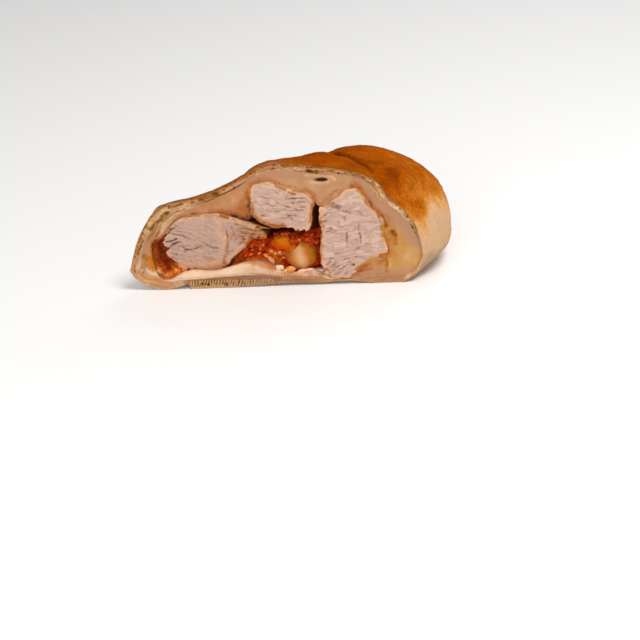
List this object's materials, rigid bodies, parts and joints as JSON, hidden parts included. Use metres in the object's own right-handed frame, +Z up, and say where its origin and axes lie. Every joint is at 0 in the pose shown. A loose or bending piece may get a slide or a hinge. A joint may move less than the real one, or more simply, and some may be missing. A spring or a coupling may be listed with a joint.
{
  "type": "chicken roll half",
  "caption": "Half of a baked dough roll cut on a slant, showing chicken, melted cheese and tomato sauce wrapped in dough, with a folded flap over the back.",
  "frame": {"origin": "middle of the bounding box, at the flat underside", "axes": "+Z up, +X along the cut face towards the folded flap, +Y from the cut face back along the roll; the cut face looks along -Y"},
  "size_m": [0.147, 0.098, 0.0599],
  "materials": {
    "dough": "baked crust, mottled golden brown on top, pale at the sides and at the cut",
    "chicken_left": "cooked chicken breast, cut across the grain",
    "chicken_middle": "cooked chicken breast, cut across the grain",
    "chicken_right": "cooked chicken breast, cut across the grain",
    "melted_cheese_top": "melted cheese, soft sheen",
    "melted_cheese_right": "melted cheese, soft sheen",
    "tomato_sauce": "wet tomato sauce with pulp",
    "sauce_left": "wet dark sauce",
    "cheese_lump_orange": "melted cheese stained by the sauce",
    "cheese_lump_cream": "melted cheese"
  },
  "bodies": {
    "root": {"dough": "dough", "chicken_left": "chicken_left", "chicken_middle": "chicken_middle", "chicken_right": "chicken_right", "melted_cheese_top": "melted_cheese_top", "melted_cheese_right": "melted_cheese_right", "tomato_sauce": "tomato_sauce", "sauce_left": "sauce_left", "cheese_lump_orange": "cheese_lump_orange", "cheese_lump_cream": "cheese_lump_cream"}
  },
  "joints": []
}
